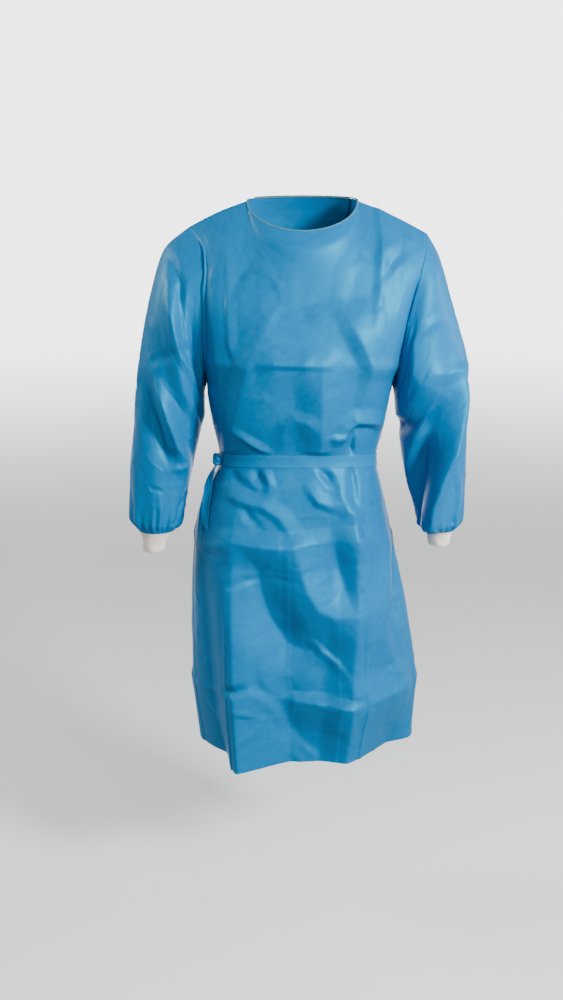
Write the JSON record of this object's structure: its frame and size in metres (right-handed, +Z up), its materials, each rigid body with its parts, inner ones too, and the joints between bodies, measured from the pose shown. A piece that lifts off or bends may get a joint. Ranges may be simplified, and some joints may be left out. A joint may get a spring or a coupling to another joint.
{
  "type": "long-sleeved surgical gown, as worn",
  "caption": "Hollow worn surgical gown of thin blue nonwoven cloth, with set-in long sleeves, white knit cuffs, a bound round neck, an overlapped open back and a tied waist belt.",
  "frame": {"origin": "between the shoulders at the level of the back neck edge, where the wearer holds the gown up", "axes": "+Z up, -Y the gown's front, +X the wearer's left"},
  "size_m": [0.7113, 0.3337, 1.1818],
  "materials": {
    "nonwoven_blue": "thin spunbond nonwoven, faintly sheeny, point bonded",
    "belt_blue": "folded strip of the same nonwoven",
    "knit_white": "ribbed stretch knit, matt",
    "binding_blue": "narrow folded binding, matt"
  },
  "bodies": {
    "root": {"front_panel": "nonwoven_blue", "back_panel_right": "nonwoven_blue", "back_panel_left": "nonwoven_blue", "sleeve_right": "nonwoven_blue", "sleeve_left": "nonwoven_blue", "cuff_right": "knit_white", "cuff_left": "knit_white", "neck_binding": "binding_blue", "waist_belt": "belt_blue", "belt_knot": "belt_blue", "belt_end_front": "belt_blue", "belt_end_back": "belt_blue"}
  },
  "joints": []
}
